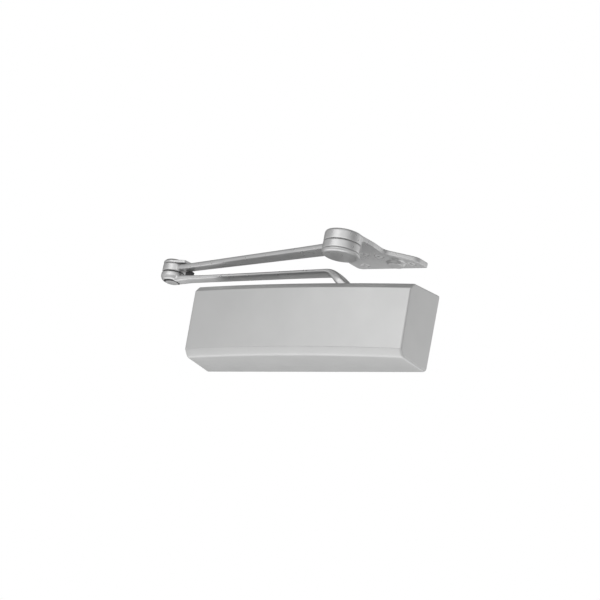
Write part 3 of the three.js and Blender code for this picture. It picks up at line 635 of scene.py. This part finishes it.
def make_forearm():
    run, side = forearm_direction()
    rings = []
    for distance, width, height in smooth_between(FOREARM_STATIONS, 4):
        centre = Vector((ELBOW.x, ELBOW.y, FOREARM_LEVEL * MM)) + run * distance * MM
        rings.append(bar_ring(centre, side, Vector((0, 0, 1)), width * MM, height * MM))
    elbow_eye = turned([
        (0, ELBOW_EYE_LOW), (ELBOW_EYE_R, ELBOW_EYE_LOW), (ELBOW_EYE_R, ELBOW_EYE_HIGH), (0, ELBOW_EYE_HIGH),
    ], 0.9, ELBOW_AXIS)
    shoe_eye = turned([
        (0, SHOE_EYE_LOW), (SHOE_RADIUS, SHOE_EYE_LOW), (SHOE_RADIUS, SHOE_EYE_HIGH), (0, SHOE_EYE_HIGH),
    ], 0.9, SHOE_AXIS)
    arm = forged("forearm_forging", [loft(rings), elbow_eye, shoe_eye], FORGING_VOXEL, FORGING_PASSES)
    carve(arm, bore(ELBOW_BUSHING_R, 70, 90, ELBOW_AXIS), bore(SHOE_BUSHING_R, 70, 90, SHOE_AXIS))
    hand_over(arm, "forearm", MATERIALS["forged_steel"], FORGED_ANGLE)


def make_elbow():
    run, side = forearm_direction()
    disc = turned([
        (0, CAP_LOW), (ELBOW_EYE_R, CAP_LOW), (ELBOW_EYE_R, CAP_SHOULDER),
        (ELBOW_EYE_R - CAP_CHAMFER, CAP_HIGH), (0, CAP_HIGH),
    ], 0.7, ELBOW_AXIS)
    tail_end, tail_half, tail_root = CAP_TAIL_END * MM, CAP_TAIL_HALF * MM, CAP_TAIL_ROOT * MM
    corners = [(0, -tail_root), (tail_end, -tail_half), (tail_end, tail_half), (0, tail_root)]
    outline = rounded(corners, [0, 3 * MM, 3 * MM, 0])
    placed = [Vector(ELBOW_AXIS) + run * p.x + side * p.y for p in outline]
    tail = prism(placed, CAP_LOW * MM, CAP_TAIL_HIGH * MM)
    cap = forged("elbow_cap_forging", [disc, tail], 0.4, 4)
    hand_over(cap, "elbow_cap", MATERIALS["forged_steel"], FORGED_ANGLE)

    pin = new_object("elbow_pin_turned", *turned([
        (0, PIN_HEAD_LOW), (PIN_HEAD_R - PIN_CHAMFER, PIN_HEAD_LOW), (PIN_HEAD_R, PIN_HEAD_LOW + PIN_CHAMFER),
        (PIN_HEAD_R, PIN_HEAD_HIGH), (PIN_R, PIN_HEAD_HIGH), (PIN_R, PIN_SHOULDER), (PIN_TIP_R, PIN_HIGH),
        (0, PIN_HIGH),
    ], 0.3, ELBOW_AXIS))
    hand_over(pin, "elbow_pin", MATERIALS["forged_steel"])
    # Painted shade: the pin's side faces, the head's rim and chamfer among them, take the near-black steel, as the
    # shadow round the head under the knuckle.
    pin.data.materials.append(MATERIALS["dark_steel_and_painted_shade"])
    for face in pin.data.polygons:
        if abs(face.normal.z) < 0.95:
            face.material_index = 1
    washer = ring_piece(
        "elbow_washer_turned", PIN_HOLE_R, WASHER_R, WASHER_LOW, WASHER_HIGH, ELBOW_AXIS, 0.15)
    hand_over(washer, "elbow_thrust_washer", MATERIALS["dark_steel_and_painted_shade"])


# ------------------------------------------------------------------ soffit shoe
SHOE_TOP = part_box("soffit_shoe")[1].z / MM
SHOE_PLATE_LOW = SHOE_TOP - 6.3
SHOE_KNUCKLE_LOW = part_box("soffit_shoe")[0].z / MM
SHOE_RADIUS = 23.6
SHOE_ROUND = 2.6             # rounding of the knuckle's top edge
BOSS = (94 * MM, -8 * MM, 0)
BOSS_LOW, BOSS_LOW_R, BOSS_R = 86, 9.8, 13
SHOE_PIN_R, SHOE_PIN_HIGH, SHOE_PIN_HOLE_R = 8, 94.1, 8.3
SCREW_R, SCREW_HEAD_R, SCREW_HOLE_R, COUNTERSINK_R = 3, 5.4, 3.3, 6.3
RECESS_REACH, RECESS_DEPTH, RECESS_HALF = 2.6 * MM, 1.6 * MM, 0.55 * MM      # cross recess of a screw


def curve_to(points, control, end, steps=8):
    """Adds a quadratic curve from the last point."""
    start = points[-1]
    for i in range(1, steps + 1):
        t = i / steps
        points.append(tuple(
            (1 - t) ** 2 * a + 2 * t * (1 - t) * b + t ** 2 * c for a, b, c in zip(start, control, end)
        ))


def shoe_outline():
    """Plan of the shoe's plate in millimetres: a round knuckle that flares into a triangular plate."""
    x, y, radius = SHOE.x / MM, SHOE.y / MM, SHOE_RADIUS - SHOE_ROUND
    points = [(x + radius, y), (93.2, -62), (93.8, -44)]
    curve_to(points, (94.4, -38), (98.6, -34))
    points.append((120.5, -15.2))
    curve_to(points, (126.3, -10.4), (127, -4))
    points.append((128.3, 8.5))
    curve_to(points, (128.6, 11.5), (125.5, 11.5))
    points.append((36, 11.5))
    curve_to(points, (29.5, 11.5), (28.5, 5))
    points.append((26.8, -8))
    curve_to(points, (26, -16), (32, -23))
    curve_to(points, (44, -36), (44, -60))
    points.append((x - radius, y))
    arc = 40
    for i in range(1, arc):
        angle = math.pi + math.pi * i / arc
        points.append((x + radius * math.cos(angle), y + radius * math.sin(angle)))
    return points


def cross_recess(centre):
    """Two crossed slots, for a screw head whose face is at centre and looks down."""
    x, y, z = centre
    low, high = z - 2 * MM, z + RECESS_DEPTH
    return [
        box_shell((x - RECESS_REACH, y - RECESS_HALF, low), (x + RECESS_REACH, y + RECESS_HALF, high)),
        box_shell((x - RECESS_HALF, y - RECESS_REACH, low), (x + RECESS_HALF, y + RECESS_REACH, high)),
    ]


def countersunk_hole(centre):
    """The space of a screw in the shoe's plate, open at both faces."""
    return turned([
        (0, SHOE_PLATE_LOW - 6), (COUNTERSINK_R, SHOE_PLATE_LOW - 6), (COUNTERSINK_R, SHOE_PLATE_LOW),
        (SCREW_HOLE_R, SHOE_PLATE_LOW + 3), (SCREW_HOLE_R, SHOE_TOP + 2), (0, SHOE_TOP + 2),
    ], 0, centre)


def make_shoe():
    outline = [(px * MM, py * MM) for px, py in shoe_outline()]
    plate = prism(outline, SHOE_PLATE_LOW * MM, SHOE_TOP * MM)
    knuckle = turned([
        (0, SHOE_KNUCKLE_LOW), (SHOE_RADIUS, SHOE_KNUCKLE_LOW), (SHOE_RADIUS, SHOE_TOP - SHOE_ROUND),
        (SHOE_RADIUS - 0.3 * SHOE_ROUND, SHOE_TOP - 0.3 * SHOE_ROUND), (SHOE_RADIUS - SHOE_ROUND, SHOE_TOP),
        (0, SHOE_TOP),
    ], 0.8, SHOE_AXIS)
    boss = turned([
        (0, BOSS_LOW), (BOSS_LOW_R, BOSS_LOW), (BOSS_R, SHOE_PLATE_LOW + 1), (0, SHOE_PLATE_LOW + 1),
    ], 0.8, BOSS)
    shoe = forged("soffit_shoe_forging", [plate, knuckle, boss], FORGING_VOXEL, FORGING_PASSES)
    tools = [bore(SHOE_PIN_HOLE_R, 78, SHOE_TOP - 2, SHOE_AXIS)]
    screws = [node for node in NODE_BODY if node.startswith("shoe_screw")]
    for node in screws:
        low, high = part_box(node)
        centre = (low + high) / 2
        tools.append(countersunk_hole((centre.x, centre.y, 0)))
    carve(shoe, *tools)
    hand_over(shoe, "soffit_shoe", MATERIALS["forged_steel"], FORGED_ANGLE)

    for node in screws:
        low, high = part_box(node)
        centre = (low + high) / 2
        face, tip = low.z / MM, high.z / MM
        screw = new_object(node + "_turned", *turned([
            (0, face), (SCREW_HEAD_R - 0.3, face), (SCREW_HEAD_R, face + 0.3), (SCREW_R, face + 2.6),
            (SCREW_R, tip), (0, tip),
        ], 0.15, (centre.x, centre.y, 0), segments=48))
        carve(screw, *cross_recess((centre.x, centre.y, low.z)))
        hand_over(screw, node, MATERIALS["plated_fasteners"])

    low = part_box("shoe_pivot_pin")[0].z / MM
    pin = new_object("shoe_pin_turned", *turned([
        (0, low), (SHOE_PIN_R, low), (SHOE_PIN_R, SHOE_PIN_HIGH), (0, SHOE_PIN_HIGH),
    ], 0.4, SHOE_AXIS))
    hand_over(pin, "shoe_pivot_pin", MATERIALS["machined_steel"])
    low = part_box("shoe_pivot_cap")[0].z / MM
    rim, seat = low + 4.2, low + 1.3
    cap = new_object("shoe_cap_turned", *turned([
        (0, low), (SHOE_RADIUS - 3.2, low), (SHOE_RADIUS - 0.9, low + 1.2), (SHOE_RADIUS, low + 2.9),
        (SHOE_RADIUS, rim), (SHOE_PIN_HOLE_R, rim), (SHOE_PIN_HOLE_R, seat), (0, seat),
    ], 0.5, SHOE_AXIS))
    hand_over(cap, "shoe_pivot_cap", MATERIALS["forged_steel"])


# ------------------------------------------------------------------ every other CAD node
def refined(node):
    """A copy of a CAD node with its split corners welded, its edges bevelled and its rounds smoothed."""
    source = frame["nodes"][node]
    bm = bmesh.new()
    bm.from_mesh(source.data)
    bmesh.ops.remove_doubles(bm, verts=bm.verts, dist=1e-6)
    bmesh.ops.dissolve_limit(bm, angle_limit=math.radians(1), verts=bm.verts, edges=bm.edges)
    obj = new_object(node + "_detail", [v.co.copy() for v in bm.verts], [])
    bm.to_mesh(obj.data)
    bm.free()
    bevel = obj.modifiers.new("edges", "BEVEL")
    bevel.width = 0.25 * MM
    bevel.segments = 1
    bevel.limit_method = "ANGLE"
    bevel.angle_limit = math.radians(35)
    settle(obj)
    hand_over(obj, node, MATERIALS[NODE_SLOT[node]])


# ------------------------------------------------------------------ stage, light and camera
# Studio brightness round the object, in steps of 30 degrees from -X through -Y (in front), +X and +Y.
AROUND = [0.7, 0.7, 1.12, 1.8, 1.75, 1.1, 0.25, 0.8, 1.6, 0.9, 0.25, 0.25, 0.6]
HEIGHT = [1.0, 1.0, 1.0, 1.0, 0.38, 0.25]        # and from straight below to straight above
LIGHT_TARGET = (0, 0, 0.03)
SOFTBOXES = {                # place, width, height and power in watts
    "front_softbox": ((-0.6, -2.6, 0.7), 2.0, 1.6, 5),
    "low_softbox": ((-0.3, 0.3, -1.4), 2.4, 2.0, 11.5),
}


def make_stage():
    size, floor_z = 6.0, -2.4
    verts = [(-size, -size, floor_z), (size, -size, floor_z), (size, size, floor_z), (-size, size, floor_z)]
    floor = new_object("floor", verts, [[0, 1, 2, 3]])
    material, tree, shader = node_material("pale_floor")
    tone = ramp(tree, noise(tree, 3, 3.0), 0.84, 0.88)
    tree.links.new(tone, shader.inputs["Base Color"])
    shader.inputs["Roughness"].default_value = 0.9
    shader.inputs["Emission Color"].default_value = (1, 1, 1, 1)
    shader.inputs["Emission Strength"].default_value = 0.25
    floor.data.materials.append(material)


def softbox(name, place, width, height, power):
    """A rectangular light that faces the object and that the camera doesn't see."""
    light = bpy.data.lights.new(name, "AREA")
    light.shape = "RECTANGLE"
    light.size, light.size_y = width, height
    light.energy = power
    obj = bpy.data.objects.new(name, light)
    obj.location = place
    obj.visible_camera = False
    bpy.context.collection.objects.link(obj)
    obj.rotation_mode = "QUATERNION"
    obj.rotation_quaternion = (Vector(LIGHT_TARGET) - obj.location).to_track_quat("-Z", "Y")


def make_world():
    """White to the camera; for light, a studio that is bright below and in front and dim above, with
    dark patches at the right and behind on the left."""
    world = bpy.data.worlds.new("studio")
    bpy.context.scene.world = world
    world.use_nodes = True
    tree = world.node_tree
    tree.nodes.clear()
    output = tree.nodes.new("ShaderNodeOutputWorld")
    place = tree.nodes.new("ShaderNodeTexCoord")
    split = tree.nodes.new("ShaderNodeSeparateXYZ")
    tree.links.new(place.outputs["Generated"], split.inputs["Vector"])

    def graded(value, limit, levels):
        """Strength for values from -limit to limit, given in equal steps."""
        share = tree.nodes.new("ShaderNodeMapRange")
        share.inputs["From Min"].default_value = -limit
        share.inputs["From Max"].default_value = limit
        tree.links.new(value, share.inputs["Value"])
        node = tree.nodes.new("ShaderNodeValToRGB")
        node.color_ramp.interpolation = "B_SPLINE"
        last, peak = len(levels) - 1, max(levels)
        for i in range(1, last):
            node.color_ramp.elements.new(i / last)
        for element, level in zip(node.color_ramp.elements, levels):
            element.color = (level / peak, level / peak, level / peak, 1)
        tree.links.new(share.outputs["Result"], node.inputs["Fac"])
        scaled = tree.nodes.new("ShaderNodeMath")
        scaled.operation = "MULTIPLY"
        scaled.inputs[1].default_value = peak
        tree.links.new(node.outputs["Color"], scaled.inputs[0])
        return scaled.outputs["Value"]

    def combined(operation, first, second):
        node = tree.nodes.new("ShaderNodeMath")
        node.operation = operation
        tree.links.new(first, node.inputs[0])
        tree.links.new(second, node.inputs[1])
        return node.outputs["Value"]

    azimuth = combined("ARCTAN2", split.outputs["Y"], split.outputs["X"])
    around = graded(azimuth, math.pi, AROUND)
    height = graded(split.outputs["Z"], 1, HEIGHT)
    soft = tree.nodes.new("ShaderNodeBackground")
    tree.links.new(combined("MULTIPLY", around, height), soft.inputs["Strength"])
    white = tree.nodes.new("ShaderNodeBackground")
    white.inputs["Color"].default_value = (1, 1, 1, 1)
    path = tree.nodes.new("ShaderNodeLightPath")
    mix = tree.nodes.new("ShaderNodeMixShader")
    tree.links.new(path.outputs["Is Camera Ray"], mix.inputs["Fac"])
    tree.links.new(soft.outputs["Background"], mix.inputs[1])
    tree.links.new(white.outputs["Background"], mix.inputs[2])
    tree.links.new(mix.outputs["Shader"], output.inputs["Surface"])
    bpy.context.scene.view_settings.view_transform = "Standard"


def make_camera():
    """A long lens from below and to the right, rolled so that the cover lies level in the frame."""
    distance, focal = 3.8428, 186.6
    turn, tip, roll = (math.radians(angle) for angle in (33.105, 20.012, -0.329))
    level = Vector((math.cos(turn), math.sin(turn) * math.cos(tip), math.sin(turn) * math.sin(tip)))
    plumb = Vector((0, -math.sin(tip), math.cos(tip)))
    right = level * math.cos(roll) + plumb * math.sin(roll)
    up = plumb * math.cos(roll) - level * math.sin(roll)
    place = right.cross(up) * distance
    aim_point = right * -0.0269 + up * 0.0430
    back = (place - aim_point).normalized()
    side = up.cross(back).normalized()
    upright = back.cross(side)
    camera = bpy.data.objects.new("camera", bpy.data.cameras.new("camera"))
    camera.data.lens = focal
    camera.matrix_world = Matrix.Translation(place) @ Matrix((side, upright, back)).transposed().to_4x4()
    bpy.context.collection.objects.link(camera)
    bpy.context.scene.camera = camera


make_cover()
make_main_arm()
make_forearm()
make_elbow()
make_shoe()
BUILT = {"cover", "main_arm", "forearm", "elbow_cap", "elbow_pin", "elbow_thrust_washer", "soffit_shoe",
         "shoe_pivot_pin", "shoe_pivot_cap"}
for node_name in frame["nodes"]:
    if node_name not in BUILT and not node_name.startswith("shoe_screw"):
        refined(node_name)
make_stage()
for softbox_name, settings in SOFTBOXES.items():
    softbox(softbox_name, *settings)
make_world()
make_camera()
